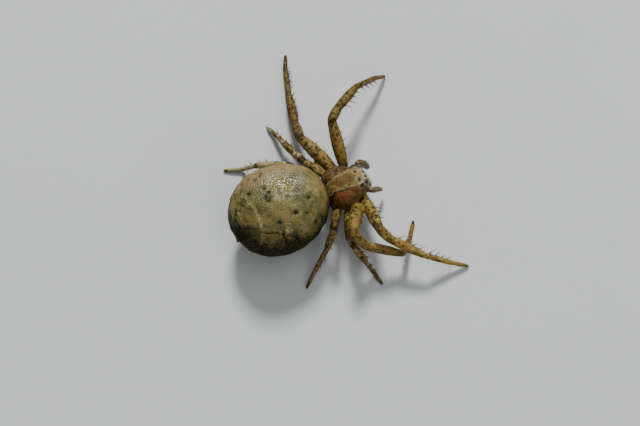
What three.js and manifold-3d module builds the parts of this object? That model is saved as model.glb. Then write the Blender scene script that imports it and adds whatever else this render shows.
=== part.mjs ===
// Ground crab spider, an adult female at life size, standing still on eight legs.
// Millimetres, Z up. The head points to -Y and the spider's left side is +X.

import * as THREE from 'three';
import { mergeVertices } from 'three/addons/utils/BufferGeometryUtils.js';
import Module from 'manifold-3d';

const wasm = await Module();
wasm.setup();

// Clearances between parts that touch in life
const JOINT_GAP = 0.28;
const COXA_GAP = 0.2;
const EYE_GAP = 0.05;

// Shield over the head and thorax
const CARAPACE_FRONT = -1.7;
const CARAPACE_REAR = 1.65;
const CARAPACE_RIM_HEIGHT = 2.0;
const CARAPACE_RIM_DEPTH = 0.14;
const CARAPACE_STATIONS = {
  y: [-1.7, -1.25, -0.7, -0.05, 0.55, 1.1, 1.45, 1.65],
  halfWidth: [0.76, 0.95, 1.3, 1.58, 1.65, 1.48, 1.2, 0.9],
  top: [2.66, 2.92, 3.06, 3.12, 3.1, 2.82, 2.46, 2.16],
};

// Underside of the thorax, the stalk of the abdomen and the mouth plates
const STERNUM_CENTRE = new THREE.Vector3(0, 0.05, 1.62);
const STERNUM_SIZE = new THREE.Vector3(0.76, 1.28, 0.62);
const STALK_RADIUS = 0.25;
const STALK_HEIGHT = 1.62;
const STALK_START = 0.7;
const STALK_END = 2.0;
const MOUTH_PLATE_CENTRE = new THREE.Vector3(0.2, -0.94, 1.22);
const MOUTH_PLATE_SIZE = new THREE.Vector3(0.17, 0.22, 0.27);
const LIP_CENTRE = new THREE.Vector3(0, -0.86, 1.14);
const LIP_SIZE = new THREE.Vector3(0.14, 0.22, 0.17);

// Abdomen: a broad globe, turned a little to the left, that overhangs the back of the shield
const ABDOMEN_CENTRE = new THREE.Vector3(0.28, 4.56, 2.76);
const ABDOMEN_SIZE = new THREE.Vector3(3.12, 3.44, 2.46);
const ABDOMEN_WIDEST = 0.06;
const ABDOMEN_FRONT_LIFT = 0.4;
const ABDOMEN_FRONT_FULLNESS = 0.1;
const ABDOMEN_YAW = THREE.MathUtils.degToRad(-6.4);
const SPINNERET_LENGTH = 0.45;
const SPINNERET_RADIUS = 0.17;
const SPINNERET_HEIGHTS = [1.12, 1.46];

// Jaws
const JAW_CENTRE = new THREE.Vector3(0.3, -1.58, 1.3);
const JAW_SIZE = new THREE.Vector3(0.2, 0.24, 0.46);
const FANG_LENGTH = 0.34;
const FANG_RADIUS = 0.09;

// Eyes: front and back rows, the outer eyes on raised mounds
const EYES = {
  anterior_median: { place: [0.17, -1.56, 2.46], radius: 0.09, mound: 0 },
  anterior_lateral: { place: [0.5, -1.38, 2.46], radius: 0.13, mound: 0.23 },
  posterior_median: { place: [0.32, -1.08, 2.86], radius: 0.085, mound: 0 },
  posterior_lateral: { place: [0.68, -1.04, 2.64], radius: 0.115, mound: 0.21 },
};

// Legs: piece lengths from femur to tarsus, and half thicknesses
const COXA_DROP = 0.22;
const FEMUR_BOW = 0.1;
const COXA_LENGTH = 0.48;
const FOOT_HEIGHT = 0.12;
const LEG_PAIRS = {
  1: {
    lengths: [3.3, 1.16, 2.42, 2.04, 1.16], rootHeight: 1.65,
    coxa: 0.28, femur: 0.43, knee: 0.36, patella: 0.35, tibia: 0.32, metatarsus: 0.25,
  },
  2: {
    lengths: [3.42, 1.55, 2.5, 2.08, 1.1], rootHeight: 1.65,
    coxa: 0.28, femur: 0.46, knee: 0.37, patella: 0.36, tibia: 0.33, metatarsus: 0.25,
  },
  3: {
    lengths: [2.03, 1.0, 1.36, 1.18, 0.78], rootHeight: 1.62,
    coxa: 0.25, femur: 0.33, knee: 0.29, patella: 0.28, tibia: 0.27, metatarsus: 0.245,
  },
  4: {
    lengths: [2.33, 1.0, 1.64, 1.54, 1.24], rootHeight: 1.5,
    coxa: 0.26, femur: 0.34, knee: 0.29, patella: 0.28, tibia: 0.27, metatarsus: 0.245,
  },
};

// Posture of each leg: the place of its femur root, the heading of its five pieces, in degrees
// outwards from straight ahead, and the rise of the first four above level. The last piece
// slopes down to the floor.
const POSTURES = {
  1: {
    left: { root: [1.42, -0.63], heading: [77, 44, 34, 18, 19], rise: [36, -19, -23, -37] },
    right: { root: [1.36, -0.87], heading: [94, 58, 51, 33, 30], rise: [28, -53, -14, -31] },
  },
  2: {
    left: { root: [1.47, 0.03], heading: [107, 83, 76, 72, 66], rise: [1, -27, -5, -10] },
    right: { root: [1.47, -0.27], heading: [118, 52, 32, -52, -52], rise: [35, -57, -24, -38] },
  },
  3: {
    left: { root: [1.42, 0.7], heading: [115, 108, 104, 100, 107], rise: [-6, -16, -10, -25] },
    right: { root: [1.42, 0.42], heading: [114, 90, 74, 70, 82], rise: [9, 11, -44, -57] },
  },
  4: {
    left: { root: [1.15, 1.38], heading: [119, 152, 143, 141, 153], rise: [7, 15, -26, -45] },
    right: { root: [1.18, 1.1], heading: [116, 167, 158, 149, 144], rise: [47, -75, -56, -18] },
  },
};

// Feelers beside the jaws: joints from the root to the tip, and their half thickness
const FEELERS = {
  left: [[0.5, -1.24, 1.42], [1.2, -1.6, 1.66], [1.18, -1.95, 1.22], [1.06, -2.14, 0.6]],
  right: [[-0.5, -1.24, 1.42], [-0.94, -1.56, 1.62], [-0.9, -1.98, 1.2], [-0.78, -2.26, 0.58]],
};
const FEELER_RADIUS = 0.24;

// Spines: how many stand in each of the two rows, their length and where the rows run
const SPINE_ROOT_RADIUS = 0.1;
const SPINE_ROOT_DEPTH = 0.5;
const SPINE_SIDES = 5;
const SPINE_STAGGER = 0.25;
const SPINE_SHORTENING = 0.25;
const SPINE_LEAN = THREE.MathUtils.degToRad(32);
const SPINE_SPREAD = THREE.MathUtils.degToRad(38);
const FRONT_TIBIA_SPINES = { count: 4, length: 0.55, from: 0.2, to: 0.88 };
const FRONT_METATARSUS_SPINES = { count: 4, length: 0.5, from: 0.16, to: 0.86 };
const REAR_TIBIA_SPINES = { count: 2, length: 0.32, from: 0.35, to: 0.8 };
const REAR_METATARSUS_SPINES = { count: 2, length: 0.3, from: 0.25, to: 0.75 };
const FEMUR_SPINES = { count: 3, length: 0.38, from: 0.4, to: 0.72, rows: [0] };
// The second right leg reaches under the first, so it has one row of spines there, clear of it
const CROSSED_LEG = { pair: 2, sideName: 'right', rows: [1] };

const LIMB_SIDES = 10;
const SIDES = { left: 1, right: -1 };
const UP = new THREE.Vector3(0, 0, 1);

const colours = {
  carapace: 0x8a5f3c,
  abdomen: 0xa9946c,
  jaw: 0xa07a4a,
  feeler: 0xb08a52,
  eye: 0x120c0a,
  legBase: 0xb58a4c,
  legMiddle: 0xa2743c,
  legEnd: 0x96754c,
};

// Solids and geometry

function toSolid(geometry) {
  const bare = geometry.clone();
  bare.deleteAttribute('normal');
  bare.deleteAttribute('uv');
  const welded = mergeVertices(bare, 1e-5);
  const corners = welded.index.array;
  const kept = [];
  for (let i = 0; i < corners.length; i += 3) {
    const [a, b, c] = [corners[i], corners[i + 1], corners[i + 2]];
    if (a !== b && b !== c && c !== a) {
      kept.push(a, b, c);
    }
  }
  const mesh = new wasm.Mesh({
    numProp: 3,
    vertProperties: new Float32Array(welded.attributes.position.array),
    triVerts: new Uint32Array(kept),
  });
  return new wasm.Manifold(mesh);
}

function largestPiece(solid) {
  return solid.decompose().reduce((best, piece) => (piece.volume() > best.volume() ? piece : best));
}

function toMesh(name, solid, colour, roughness = 0.55) {
  const { vertProperties, triVerts, numProp } = largestPiece(solid).getMesh();
  const count = vertProperties.length / numProp;
  const positions = new Float32Array(count * 3);
  for (let i = 0; i < count; i += 1) {
    positions.set(vertProperties.subarray(i * numProp, i * numProp + 3), i * 3);
  }
  const geometry = new THREE.BufferGeometry();
  geometry.setAttribute('position', new THREE.BufferAttribute(positions, 3));
  geometry.setIndex(new THREE.BufferAttribute(new Uint32Array(triVerts), 1));
  geometry.computeVertexNormals();
  const material = new THREE.MeshStandardMaterial({ color: colour, roughness, metalness: 0 });
  const mesh = new THREE.Mesh(geometry, material);
  mesh.name = name;
  return mesh;
}

function joined(solids) {
  return solids.reduce((whole, piece) => whole.add(piece));
}

// A sphere whose points are moved by `shape`, with its poles at the front and the back
function shapedGlobe(around, along, shape) {
  const geometry = new THREE.SphereGeometry(1, around, along);
  const places = geometry.attributes.position;
  const point = new THREE.Vector3();
  for (let i = 0; i < places.count; i += 1) {
    point.fromBufferAttribute(places, i);
    shape(point);
    places.setXYZ(i, point.x, point.y, point.z);
  }
  return geometry;
}

function ellipsoid(centre, size, around = 12, along = 8) {
  return toSolid(shapedGlobe(around, along, (p) => p.multiply(size).add(centre)));
}

// Keeps the side of a plane that `outward` points away from
function cutBeyond(solid, outward, distance) {
  return solid.trimByPlane(outward.clone().negate().toArray(), -distance);
}

// Limbs

function dorsalOf(direction) {
  return UP.clone().addScaledVector(direction, -UP.dot(direction)).normalize();
}

// A round closed piece from start to end; each pair in the profile is a place along it, from
// 0 to 1, and a half thickness. A bow arches it towards its back.
function limbPiece(start, end, profile, bow = 0, sides = LIMB_SIDES) {
  const direction = end.clone().sub(start);
  const length = direction.length();
  direction.normalize();
  const outline = profile.map(([place, radius]) => new THREE.Vector2(radius, place * length));
  const first = new THREE.Vector2(0, outline[0].y);
  const last = new THREE.Vector2(0, outline.at(-1).y);
  const geometry = new THREE.LatheGeometry([first, ...outline, last], sides);
  const places = geometry.attributes.position;
  for (let i = 0; i < places.count; i += 1) {
    const along = THREE.MathUtils.clamp(places.getY(i) / length, 0, 1);
    places.setZ(i, places.getZ(i) + bow * Math.sin(Math.PI * along));
  }
  const back = dorsalOf(direction);
  const side = new THREE.Vector3().crossVectors(direction, back);
  geometry.applyMatrix4(new THREE.Matrix4().makeBasis(side, direction, back).setPosition(start));
  return toSolid(geometry);
}

// Half thicknesses along a limb piece, with rounded ends that reach past its joints
function limbProfile(near, middle, far, length, reach = 0.6) {
  const before = -(near * reach) / length;
  const after = 1 + (far * reach) / length;
  return [
    [before, near * 0.55], [before * 0.35, near * 0.95], [0.36, middle],
    [0.7, (middle + far) / 2], [1 + (after - 1) * 0.35, far * 0.95], [after, far * 0.55],
  ];
}

function spine(root, tip) {
  const length = root.distanceTo(tip);
  const geometry = new THREE.ConeGeometry(SPINE_ROOT_RADIUS, length, SPINE_SIDES);
  geometry.translate(0, length / 2, 0);
  const direction = tip.clone().sub(root).normalize();
  const turn = new THREE.Quaternion().setFromUnitVectors(new THREE.Vector3(0, 1, 0), direction);
  geometry.applyQuaternion(turn);
  geometry.translate(...root);
  return toSolid(geometry);
}

function spineRows(pair, sideName, frontPairs, rearPairs) {
  const rows = pair < 3 ? frontPairs : rearPairs;
  const crossed = Number(pair) === CROSSED_LEG.pair && sideName === CROSSED_LEG.sideName;
  return crossed ? { ...rows, rows: CROSSED_LEG.rows } : rows;
}

// Rows of tapered spines on the forward side of a limb piece, leaning to its tip. Row 1 is below
// row -1, and each row's spines get shorter towards the tip.
function spines(start, end, radius, side, { count, length, from, to, rows = [-1, 1] }) {
  const along = end.clone().sub(start).normalize();
  const forward = new THREE.Vector3().crossVectors(along, UP).multiplyScalar(side).normalize();
  const rootDepth = radius * SPINE_ROOT_DEPTH;
  return rows.flatMap((row) => Array.from({ length: count }, (_, i) => {
    const stagger = row > 0 ? SPINE_STAGGER : 0;
    const place = from + ((to - from) * (i + stagger)) / (count - 1 + SPINE_STAGGER);
    const outward = forward.clone().applyAxisAngle(along, side * row * SPINE_SPREAD);
    const root = start.clone().lerp(end, place).addScaledVector(outward, radius - rootDepth);
    const reach = length * (1 - SPINE_SHORTENING * place) + rootDepth;
    const lean = outward.multiplyScalar(Math.cos(SPINE_LEAN));
    lean.addScaledVector(along, Math.sin(SPINE_LEAN));
    return spine(root, root.clone().addScaledVector(lean, reach));
  }));
}

function direct(headingDegrees, riseDegrees, side) {
  const heading = THREE.MathUtils.degToRad(headingDegrees);
  const rise = THREE.MathUtils.degToRad(riseDegrees);
  return new THREE.Vector3(
    side * Math.sin(heading) * Math.cos(rise),
    -Math.cos(heading) * Math.cos(rise),
    Math.sin(rise),
  );
}

// The six joints of a leg, from the root of its femur to its tip
function legJoints(pair, sideName) {
  const { lengths, rootHeight } = LEG_PAIRS[pair];
  const { root, heading, rise } = POSTURES[pair][sideName];
  const side = SIDES[sideName];
  const joints = [new THREE.Vector3(side * root[0], root[1], rootHeight)];
  lengths.forEach((length, i) => {
    const last = joints.at(-1);
    const drop = (FOOT_HEIGHT - last.z) / length;
    const tilt = i < rise.length ? rise[i] : THREE.MathUtils.radToDeg(Math.asin(drop));
    joints.push(last.clone().addScaledVector(direct(heading[i], tilt, side), length));
  });
  return joints;
}

// The plane that halves the bend at a joint
function bendPlane(before, joint, after) {
  const arriving = joint.clone().sub(before).normalize();
  const leaving = after.clone().sub(joint).normalize();
  const normal = arriving.add(leaving).normalize();
  return { normal, distance: normal.dot(joint) };
}

function endAtJoint(solid, plane) {
  return cutBeyond(solid, plane.normal, plane.distance - JOINT_GAP / 2);
}

function startAtJoint(solid, plane) {
  const reversed = plane.normal.clone().negate();
  return cutBeyond(solid, reversed, -plane.distance - JOINT_GAP / 2);
}

// Body parts

function smoothTable(places, values) {
  const curve = new THREE.CubicInterpolant(places, values, 1, new Float32Array(1));
  return (place) => curve.evaluate(THREE.MathUtils.clamp(place, places[0], places.at(-1)))[0];
}

// The shield, grown outwards by `margin`
function carapaceSolid(margin = 0, around = 28, along = 20) {
  const halfWidth = smoothTable(CARAPACE_STATIONS.y, CARAPACE_STATIONS.halfWidth);
  const top = smoothTable(CARAPACE_STATIONS.y, CARAPACE_STATIONS.top);
  const middle = (CARAPACE_FRONT + CARAPACE_REAR) / 2;
  const halfLength = (CARAPACE_REAR - CARAPACE_FRONT) / 2;
  const shape = (p) => {
    const y = middle + halfLength * p.y;
    const ring = Math.hypot(p.x, p.z);
    const across = ring > 0 ? p.x / ring : 0;
    const upwards = ring > 0 ? p.z / ring : 0;
    const bluntness = ring ** (p.y < 0 ? 0.42 : 0.55);
    const height = upwards > 0 ? top(y) - CARAPACE_RIM_HEIGHT : CARAPACE_RIM_DEPTH;
    p.x = across * (bluntness * halfWidth(y) + margin);
    p.z = CARAPACE_RIM_HEIGHT + upwards * (bluntness * height + margin);
    p.y = y + margin * p.y;
  };
  return toSolid(shapedGlobe(around, along, shape));
}

function sternumSolid(margin = 0) {
  return ellipsoid(STERNUM_CENTRE, STERNUM_SIZE.clone().addScalar(margin), 18, 12);
}

// The stalk that carries the abdomen
function stalkSolid(margin = 0) {
  const start = new THREE.Vector3(0, STALK_START, STALK_HEIGHT);
  const end = new THREE.Vector3(0, STALK_END + margin, STALK_HEIGHT);
  const radius = STALK_RADIUS + margin;
  return limbPiece(start, end, [[0, radius], [1, radius]], 0, 12);
}

function mirrored(vector, side) {
  return new THREE.Vector3(vector.x * side, vector.y, vector.z);
}

function cephalothorax() {
  const pieces = [carapaceSolid(), sternumSolid(), stalkSolid(), ellipsoid(LIP_CENTRE, LIP_SIZE, 8, 6)];
  const sockets = [];
  for (const side of Object.values(SIDES)) {
    pieces.push(ellipsoid(mirrored(MOUTH_PLATE_CENTRE, side), MOUTH_PLATE_SIZE, 10, 6));
    for (const { place, radius, mound } of Object.values(EYES)) {
      const centre = new THREE.Vector3(side * place[0], place[1], place[2]);
      if (mound > 0) {
        pieces.push(ellipsoid(centre, new THREE.Vector3(mound, mound, mound), 10, 8));
      }
      const socket = radius + EYE_GAP;
      const lens = eyeCentre(centre, mound, side);
      sockets.push(ellipsoid(lens, new THREE.Vector3(socket, socket, socket), 8, 6));
    }
  }
  const whole = joined(pieces).subtract(joined(sockets));
  return toMesh('cephalothorax', whole, colours.carapace);
}

// An eye sits on the outer side of its mound, looking out, ahead and up
function eyeCentre(base, mound, side) {
  const look = new THREE.Vector3(side * Math.abs(base.x), -0.55, 0.45).normalize();
  return base.clone().addScaledVector(look, mound * 0.85);
}

function eyes() {
  return Object.entries(SIDES).flatMap(([sideName, side]) => (
    Object.entries(EYES).map(([row, { place, radius, mound }]) => {
      const base = new THREE.Vector3(side * place[0], place[1], place[2]);
      const lens = eyeCentre(base, mound, side);
      const globe = ellipsoid(lens, new THREE.Vector3(radius, radius, radius), 8, 6);
      return toMesh(`eye_${row}_${sideName}`, globe, colours.eye, 0.15);
    })
  ));
}

// The globe of the abdomen: widest behind its middle, with its front end raised
function abdomenSolid() {
  const { x: halfWidth, y: halfLength, z: halfHeight } = ABDOMEN_SIZE;
  const geometry = shapedGlobe(36, 24, (p) => {
    const ring = Math.hypot(p.x, p.z);
    const fuller = p.y < 0 && ring > 0 ? ring ** -ABDOMEN_FRONT_FULLNESS : 1;
    const wider = fuller * (1 + ABDOMEN_WIDEST * p.y * (1 - p.y * p.y));
    p.set(p.x * wider * halfWidth, p.y * halfLength, p.z * wider * halfHeight);
    p.z += ABDOMEN_FRONT_LIFT * Math.max(0, -p.y / halfLength) ** 2;
  });
  geometry.rotateZ(ABDOMEN_YAW);
  geometry.translate(...ABDOMEN_CENTRE);
  return toSolid(geometry);
}

function spinnerets() {
  const rearward = new THREE.Vector3(0, Math.cos(0.5), -Math.sin(0.5)).applyAxisAngle(UP, ABDOMEN_YAW);
  const across = new THREE.Vector3(1, 0, 0).applyAxisAngle(UP, ABDOMEN_YAW);
  const rear = new THREE.Vector3(0, ABDOMEN_SIZE.y - 0.62, 0).applyAxisAngle(UP, ABDOMEN_YAW);
  const profile = [[0, SPINNERET_RADIUS], [0.7, SPINNERET_RADIUS * 0.9], [1, SPINNERET_RADIUS * 0.5]];
  const cones = [-0.24, 0, 0.24].flatMap((offset) => SPINNERET_HEIGHTS.map((height) => {
    const start = ABDOMEN_CENTRE.clone().add(rear).addScaledVector(across, offset).setZ(height);
    const end = start.clone().addScaledVector(rearward, SPINNERET_LENGTH + 0.3);
    return limbPiece(start, end, profile, 0, 8);
  }));
  return joined(cones);
}

// The soft abdomen gives way to the shield, the stalk and the last legs where they meet it
function abdomen() {
  const lastLegs = Object.keys(SIDES).map((sideName) => femurSolid(4, legJoints(4, sideName), COXA_GAP));
  const whole = abdomenSolid()
    .add(spinnerets())
    .subtract(carapaceSolid(JOINT_GAP))
    .subtract(stalkSolid(JOINT_GAP))
    .subtract(joined(lastLegs));
  return toMesh('abdomen', whole, colours.abdomen, 0.45);
}

function chelicera(sideName) {
  const side = SIDES[sideName];
  const centre = mirrored(JAW_CENTRE, side);
  const block = ellipsoid(centre, JAW_SIZE, 12, 10);
  const fangRoot = centre.clone().add(new THREE.Vector3(side * -0.02, 0, -JAW_SIZE.z * 0.8));
  const fangTip = fangRoot.clone().add(new THREE.Vector3(side * -0.14, 0.12, -1).setLength(FANG_LENGTH));
  const fangProfile = [[-0.2, FANG_RADIUS], [0.5, FANG_RADIUS * 0.7], [1, 0.02]];
  const fang = limbPiece(fangRoot, fangTip, fangProfile, 0, 6);
  const whole = block.add(fang).subtract(carapaceSolid(JOINT_GAP)).subtract(sternumSolid(JOINT_GAP));
  return toMesh(`chelicera_${sideName}`, whole, colours.jaw);
}

function pedipalp(sideName) {
  const joints = FEELERS[sideName].map((place) => new THREE.Vector3(...place));
  const pieces = [];
  const thickness = [0.78, 1, 0.95, 0.55];
  for (let i = 0; i + 1 < joints.length; i += 1) {
    const near = FEELER_RADIUS * thickness[i];
    const far = FEELER_RADIUS * thickness[i + 1];
    const length = joints[i].distanceTo(joints[i + 1]);
    const profile = limbProfile(near, Math.max(near, far) * 1.03, far, length);
    pieces.push(limbPiece(joints[i], joints[i + 1], profile, 0, 8));
  }
  const jawSize = JAW_SIZE.clone().addScalar(COXA_GAP);
  const jaw = ellipsoid(mirrored(JAW_CENTRE, SIDES[sideName]), jawSize);
  const firstLeg = legJoints(1, sideName);
  const whole = joined(pieces)
    .subtract(carapaceSolid(JOINT_GAP))
    .subtract(sternumSolid(JOINT_GAP))
    .subtract(jaw)
    .subtract(coxaSolid(1, sideName, firstLeg[0], COXA_GAP))
    .subtract(femurSolid(1, firstLeg, COXA_GAP));
  return toMesh(`pedipalp_${sideName}`, whole, colours.feeler);
}

// Legs

// The first piece runs straight inwards from the root of the femur
function coxaSolid(pair, sideName, root, margin = 0) {
  const radius = LEG_PAIRS[pair].coxa + margin;
  const start = new THREE.Vector3(root.x - SIDES[sideName] * COXA_LENGTH, root.y, root.z - COXA_DROP);
  return limbPiece(start, root, limbProfile(radius, radius, radius, start.distanceTo(root)));
}

function femurSolid(pair, joints, margin = 0) {
  const { coxa, femur, knee } = LEG_PAIRS[pair];
  const length = joints[0].distanceTo(joints[1]);
  const profile = limbProfile(coxa * 0.87 + margin, femur + margin, knee * 0.86 + margin, length);
  return limbPiece(joints[0], joints[1], profile, FEMUR_BOW);
}

function legBase(pair, sideName, joints) {
  const sizes = LEG_PAIRS[pair];
  const [root, knee, patellaEnd] = joints;
  let coxa = coxaSolid(pair, sideName, root);
  for (const [neighbour, rearwards] of [[Number(pair) - 1, -1], [Number(pair) + 1, 1]]) {
    if (POSTURES[neighbour]) {
      const halfway = (root.y + POSTURES[neighbour][sideName].root[1]) / 2;
      const outward = new THREE.Vector3(0, rearwards, 0);
      coxa = cutBeyond(coxa, outward, rearwards * halfway - COXA_GAP / 2);
    }
  }
  const solids = [coxa, femurSolid(pair, joints)];
  if (pair < 3) {
    solids.push(...spines(root, knee, sizes.femur, SIDES[sideName], FEMUR_SPINES));
  }
  const whole = endAtJoint(joined(solids), bendPlane(root, knee, patellaEnd))
    .subtract(carapaceSolid(JOINT_GAP))
    .subtract(sternumSolid(JOINT_GAP));
  return toMesh(`leg${pair}_${sideName}_femur`, whole, colours.legBase);
}

function legMiddle(pair, sideName, joints) {
  const sizes = LEG_PAIRS[pair];
  const [root, knee, patellaEnd, tibiaEnd, metatarsusEnd] = joints;
  const patellaLength = knee.distanceTo(patellaEnd);
  const tibiaLength = patellaEnd.distanceTo(tibiaEnd);
  const [kneeEnd, farEnd] = [sizes.patella * 0.86, sizes.tibia * 0.95];
  const patellaProfile = limbProfile(kneeEnd, sizes.patella, farEnd, patellaLength);
  const patella = limbPiece(knee, patellaEnd, patellaProfile);
  const tibiaProfile = limbProfile(sizes.tibia * 0.88, sizes.tibia, sizes.metatarsus, tibiaLength);
  const tibia = limbPiece(patellaEnd, tibiaEnd, tibiaProfile);
  const rows = spineRows(pair, sideName, FRONT_TIBIA_SPINES, REAR_TIBIA_SPINES);
  const side = SIDES[sideName];
  const solids = [patella, tibia, ...spines(patellaEnd, tibiaEnd, sizes.tibia, side, rows)];
  const opened = startAtJoint(joined(solids), bendPlane(root, knee, patellaEnd));
  const whole = endAtJoint(opened, bendPlane(patellaEnd, tibiaEnd, metatarsusEnd));
  return toMesh(`leg${pair}_${sideName}_tibia`, whole, colours.legMiddle);
}

function legEnd(pair, sideName, joints) {
  const sizes = LEG_PAIRS[pair];
  const [patellaEnd, tibiaEnd, metatarsusEnd, tip] = joints.slice(2);
  const thick = sizes.metatarsus;
  const slim = thick * 0.84;
  const metatarsusProfile = limbProfile(thick, thick, thick * 0.88, tibiaEnd.distanceTo(metatarsusEnd));
  const metatarsus = limbPiece(tibiaEnd, metatarsusEnd, metatarsusProfile);
  const tarsusProfile = limbProfile(slim, slim, thick * 0.6, metatarsusEnd.distanceTo(tip));
  const tarsus = limbPiece(metatarsusEnd, tip, tarsusProfile);
  const rows = spineRows(pair, sideName, FRONT_METATARSUS_SPINES, REAR_METATARSUS_SPINES);
  const side = SIDES[sideName];
  const solids = [metatarsus, tarsus, ...spines(tibiaEnd, metatarsusEnd, thick, side, rows)];
  const opened = startAtJoint(joined(solids), bendPlane(patellaEnd, tibiaEnd, metatarsusEnd));
  const whole = cutBeyond(opened, UP.clone().negate(), 0);
  return toMesh(`leg${pair}_${sideName}_metatarsus`, whole, colours.legEnd);
}

const spider = new THREE.Group();
spider.add(cephalothorax(), abdomen(), ...eyes());
for (const sideName of Object.keys(SIDES)) {
  spider.add(chelicera(sideName), pedipalp(sideName));
  for (const pair of Object.keys(LEG_PAIRS)) {
    const joints = legJoints(pair, sideName);
    spider.add(legBase(pair, sideName, joints));
    spider.add(legMiddle(pair, sideName, joints));
    spider.add(legEnd(pair, sideName, joints));
  }
}

// The origin is on the floor, under the middle of the whole spider
const bounds = new THREE.Box3().setFromObject(spider);
const middle = bounds.getCenter(new THREE.Vector3());
spider.position.set(-middle.x, -middle.y, 0);

const group = new THREE.Group();
group.add(spider);

export default group;
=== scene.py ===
import math
import random
from functools import partial

import bmesh
import bpy
import numpy as np
from mathutils import Matrix, Vector, noise
from mathutils.bvhtree import BVHTree
from mathutils.kdtree import KDTree


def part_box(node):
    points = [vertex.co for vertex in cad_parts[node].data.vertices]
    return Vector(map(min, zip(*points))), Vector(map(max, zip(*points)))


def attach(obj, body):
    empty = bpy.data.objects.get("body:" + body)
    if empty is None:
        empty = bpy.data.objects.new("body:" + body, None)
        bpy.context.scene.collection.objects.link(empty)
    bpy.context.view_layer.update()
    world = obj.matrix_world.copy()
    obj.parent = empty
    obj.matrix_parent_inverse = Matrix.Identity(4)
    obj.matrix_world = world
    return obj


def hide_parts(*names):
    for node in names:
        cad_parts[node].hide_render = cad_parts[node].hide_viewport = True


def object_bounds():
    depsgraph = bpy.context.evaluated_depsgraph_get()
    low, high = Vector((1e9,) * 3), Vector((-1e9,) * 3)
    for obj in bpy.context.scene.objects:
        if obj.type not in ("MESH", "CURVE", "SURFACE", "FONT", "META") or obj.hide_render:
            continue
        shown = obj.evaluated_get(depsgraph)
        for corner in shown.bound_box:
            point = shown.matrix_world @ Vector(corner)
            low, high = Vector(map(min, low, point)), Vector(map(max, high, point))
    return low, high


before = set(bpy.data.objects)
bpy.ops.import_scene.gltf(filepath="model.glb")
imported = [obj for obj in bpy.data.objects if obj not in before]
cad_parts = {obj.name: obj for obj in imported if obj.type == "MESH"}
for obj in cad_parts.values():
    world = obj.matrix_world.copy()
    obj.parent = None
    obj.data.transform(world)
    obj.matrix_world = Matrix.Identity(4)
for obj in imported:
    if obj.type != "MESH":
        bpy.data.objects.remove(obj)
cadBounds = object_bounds()
print("frame loaded:", len(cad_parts), "nodes")

# The spider is modelled in millimetres, with the middle of its shield at x = y = 0 and the
# floor at z = 0. It faces -Y and its left side is +X. toFrame puts it in place, in metres.
stalkEnd = 2.0
shieldLow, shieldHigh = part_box("cephalothorax")
millimetre = 0.001
originX = (shieldLow.x + shieldHigh.x) / 2
originY = shieldHigh.y - stalkEnd * millimetre
toFrame = Matrix.Translation((originX, originY, 0)) @ Matrix.Scale(millimetre, 4)
sides = {"left": 1, "right": -1}
up = Vector((0, 0, 1))

# Camera, straight on to the back of the spider, turned so that the abdomen is at the left
photoView = {
    "tilt": 0.40142573,       # lean away from straight down, radians
    "azimuth": -0.13962634,
    "roll": 0.46003845,
    "target": (-0.90886899, 2.20666267, 2.0),
    "distance": 175.0,
    "focal": 149.625,         # mm
    "sensor": 36,             # mm wide
    "clip": (0.002, 10),      # nearest and farthest in sight, in metres
}


def addObject(name, data):
    thing = bpy.data.objects.new(name, data)
    bpy.context.scene.collection.objects.link(thing)
    return thing


def cameraAxes(view):
    tilt, azimuth, roll = view["tilt"], view["azimuth"], view["roll"]
    back = Vector((-math.sin(tilt) * math.cos(azimuth),
                   -math.sin(tilt) * math.sin(azimuth),
                   math.cos(tilt)))
    ahead = Vector((0, -1, 0))
    ahead = (ahead - back * ahead.dot(back)).normalized()
    across = back.cross(ahead)
    right = ahead * math.cos(roll) - across * math.sin(roll)
    upward = ahead * math.sin(roll) + across * math.cos(roll)
    return right, upward, back


viewAxes = cameraAxes(photoView)
cameraPlace = Vector(photoView["target"]) + viewAxes[2] * photoView["distance"]
cameraData = bpy.data.cameras.new("photoCamera")
cameraData.lens = photoView["focal"]
cameraData.sensor_width = photoView["sensor"]
cameraData.clip_start, cameraData.clip_end = photoView["clip"]
camera = addObject("photoCamera", cameraData)
camera.matrix_world = (Matrix.Translation(toFrame @ cameraPlace)
                       @ Matrix(viewAxes).transposed().to_4x4())
bpy.context.scene.camera = camera

# Soft studio lights: direction they come from, distance and size in metres, power in watts
lights = {
    "keyLight": {"from": (0.62, -0.34, 0.7), "distance": 0.5, "size": 0.12, "power": 3.05},
    "fillLight": {"from": (-0.11, -0.4, 0.85), "distance": 0.6, "size": 0.5, "power": 0.7},
    "sideLight": {"from": (-0.79, -0.25, 0.5), "distance": 0.6, "size": 0.4, "power": 0.95},
}
for name, light in lights.items():
    lampData = bpy.data.lights.new(name, "AREA")
    lampData.shape = "DISK"
    lampData.size = light["size"]
    lampData.energy = light["power"]
    direction = Vector(light["from"]).normalized()
    addObject(name, lampData).matrix_world = (
        Matrix.Translation(direction * light["distance"])
        @ direction.to_track_quat("Z", "Y").to_matrix().to_4x4())

sky = {"Color": (0.94, 0.97, 1.0, 1), "Strength": 0.22}
world = bpy.data.worlds.new("softSky")
world.use_nodes = True
for key, value in sky.items():
    world.node_tree.nodes["Background"].inputs[key].default_value = value
bpy.context.scene.world = world
print("camera and lights placed")


# Materials

def fill(tree, node, sockets):
    # gives each socket of the node a link or a plain value
    for key, value in sockets.items():
        if isinstance(value, bpy.types.NodeSocket):
            tree.links.new(value, node.inputs[key])
        else:
            node.inputs[key].default_value = value
    return node


def addNode(tree, kind, sockets, **settings):
    node = tree.nodes.new("ShaderNode" + kind)
    for key, value in settings.items():
        setattr(node, key, value)
    return fill(tree, node, sockets)


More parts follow.
